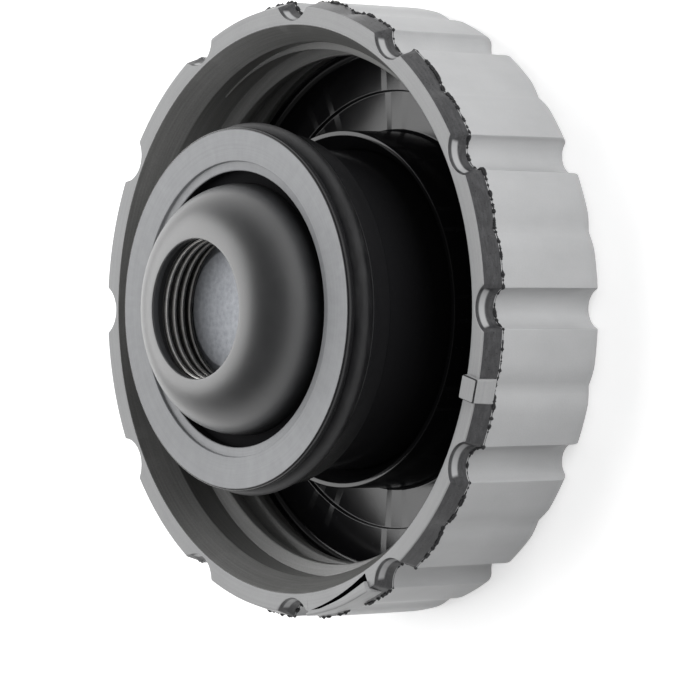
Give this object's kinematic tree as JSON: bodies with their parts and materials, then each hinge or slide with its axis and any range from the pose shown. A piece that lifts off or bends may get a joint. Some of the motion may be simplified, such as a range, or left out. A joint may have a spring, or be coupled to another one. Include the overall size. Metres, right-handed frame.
{
  "type": "coolant reservoir cap",
  "caption": "Round screw cap with a fluted grip, an internal thread and a swivelling valve stem that has a rubber seal ring, a sprung pressure poppet and a vacuum valve.",
  "frame": {"origin": "centre of the head's outer face, on which the cap stands upside down", "axes": "+Z along the screw axis, from the head to the valve end that goes into the tank"},
  "size_m": [0.0638, 0.0638, 0.0286],
  "materials": {
    "grip_plastic": "fine-grained satin outside, polished black inside",
    "housing_plastic": "matte face, polished stem",
    "inner_plastic": "moulded black",
    "dome_plastic": "smooth satin",
    "seal_rubber": "smooth black rubber",
    "spring_steel": "drawn bright wire",
    "plate_steel": "dull plated sheet"
  },
  "bodies": {
    "shell": {"cap_shell": "grip_plastic"},
    "insert": {"valve_housing": "housing_plastic", "neck_seal_ring": "seal_rubber", "housing_cover": "inner_plastic", "main_spring": "spring_steel"},
    "poppet": {"poppet_base": "inner_plastic", "poppet_seal": "seal_rubber", "dome_cover": "dome_plastic", "vacuum_spring": "spring_steel"},
    "vacuum_valve": {"vacuum_plate": "plate_steel", "vacuum_seal": "seal_rubber"}
  },
  "joints": [
    {"name": "insert_swivel", "type": "hinge", "parent": "shell", "child": "insert", "pos_m": [0, 0, 0.005], "axis": [0, 0, 1], "continuous": true},
    {"name": "pressure_lift", "type": "slide", "parent": "insert", "child": "poppet", "axis": [0, 0, 1], "range_m": [-0.002, 0], "stiffness_N_per_m": 4300, "deforming": ["main_spring"]},
    {"name": "vacuum_lift", "type": "slide", "parent": "poppet", "child": "vacuum_valve", "axis": [0, 0, 1], "range_m": [0, 0.0015], "stiffness_N_per_m": 97, "deforming": ["vacuum_spring"]}
  ]
}
